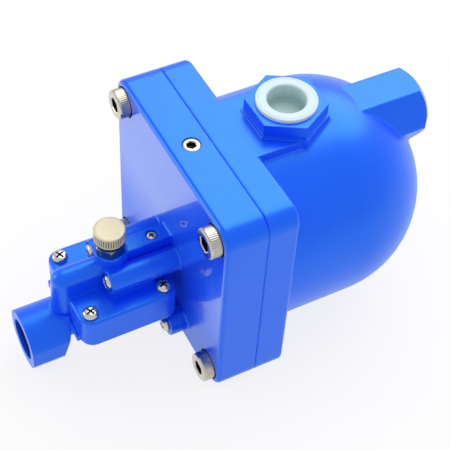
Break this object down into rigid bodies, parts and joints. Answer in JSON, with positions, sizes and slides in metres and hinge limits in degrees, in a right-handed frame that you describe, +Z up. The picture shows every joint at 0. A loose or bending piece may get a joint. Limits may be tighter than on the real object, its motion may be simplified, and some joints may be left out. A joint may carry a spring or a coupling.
{
  "type": "automatic drain valve",
  "caption": "Float drain valve with a cast bowl, bolted square flange, pilot valve unit, knurled test knob and drain outlet.",
  "frame": {"origin": "on the table, under the middle of the bowl's flange", "axes": "+X along the bowl from the drain outlet to the dome, +Y across, +Z up"},
  "size_m": [0.188, 0.102, 0.1101],
  "materials": {
    "blue_enamel": "glossy stove enamel on cast aluminium",
    "black_rubber": "matt nitrile rubber",
    "zinc_steel": "bright zinc plated",
    "nickel_screw": "nickel plated",
    "pale_nickel": "plated, slightly yellow",
    "stainless": "satin stainless steel",
    "brass": "turned brass",
    "chrome_nut": "polished chrome plate",
    "champagne_nickel": "satin nickel with a warm tint",
    "black_plastic": "black nylon",
    "white_plastic": "milky white polyethylene"
  },
  "bodies": {
    "housing": {"bowl": "blue_enamel", "bowl_seal": "black_rubber", "cover": "blue_enamel", "cover_bolts": "zinc_steel", "port_screw": "pale_nickel", "passage_screw": "nickel_screw", "valve_body": "blue_enamel", "valve_lid": "blue_enamel", "lid_screws": "nickel_screw", "upper_mount_screws": "nickel_screw", "lower_mount_screws": "nickel_screw", "passage_seals": "black_rubber", "drain_seal": "black_rubber", "diaphragm": "black_rubber", "main_seat": "brass", "bottom_cap": "brass", "valve_spring": "stainless", "gland_nut": "chrome_nut", "pilot_seat": "brass", "float_bracket": "stainless", "bracket_screws": "nickel_screw", "pivot_pin": "stainless"},
    "main_valve": {"spindle": "stainless", "spindle_washer": "stainless", "spindle_nut": "stainless", "poppet": "brass", "poppet_seal": "black_rubber"},
    "stem_carrier": {"stem_ring": "black_plastic"},
    "test_knob": {"test_stem": "brass", "knob": "champagne_nickel"},
    "float": {"float_lever": "stainless", "float_ball": "stainless"},
    "pilot_valve": {"pilot_needle": "stainless", "needle_tip": "black_rubber"},
    "top_plug": {"top_plug": "white_plastic"},
    "end_plug": {"end_plug": "white_plastic"}
  },
  "joints": [
    {"name": "main_valve_slide", "type": "slide", "parent": "housing", "child": "main_valve", "axis": [0, 0, -1], "range_m": [0, 0.002], "stiffness_N_per_m": 800, "springref_m": -0.004, "deforming": ["valve_spring", "diaphragm"]},
    {"name": "test_stem_lift", "type": "slide", "parent": "housing", "child": "stem_carrier", "axis": [0, 0, 1], "range_m": [0, 0.001]},
    {"name": "test_knob_turn", "type": "hinge", "parent": "stem_carrier", "child": "test_knob", "pos_m": [-0.052, 0, 0.0625], "axis": [0, 0, 1], "range_deg": [0, 360]},
    {"name": "float_swing", "type": "hinge", "parent": "housing", "child": "float", "pos_m": [0.001, 0, 0.0502], "axis": [0, -1, 0], "range_deg": [0, 20]},
    {"name": "pilot_needle_slide", "type": "slide", "parent": "housing", "child": "pilot_valve", "axis": [1, 0, 0], "range_m": [0, 0.0021]},
    {"name": "top_plug_pull", "type": "slide", "parent": "housing", "child": "top_plug", "axis": [0, 0, 1], "range_m": [0, 0.02]},
    {"name": "end_plug_pull", "type": "slide", "parent": "housing", "child": "end_plug", "axis": [1, 0, 0], "range_m": [0, 0.02]}
  ],
  "couplings": [
    {"joint": "test_stem_lift", "follows": "test_knob_turn", "m_per_rad": 0.00015915},
    {"joint": "pilot_needle_slide", "follows": "float_swing", "m_per_rad": 0.006}
  ]
}
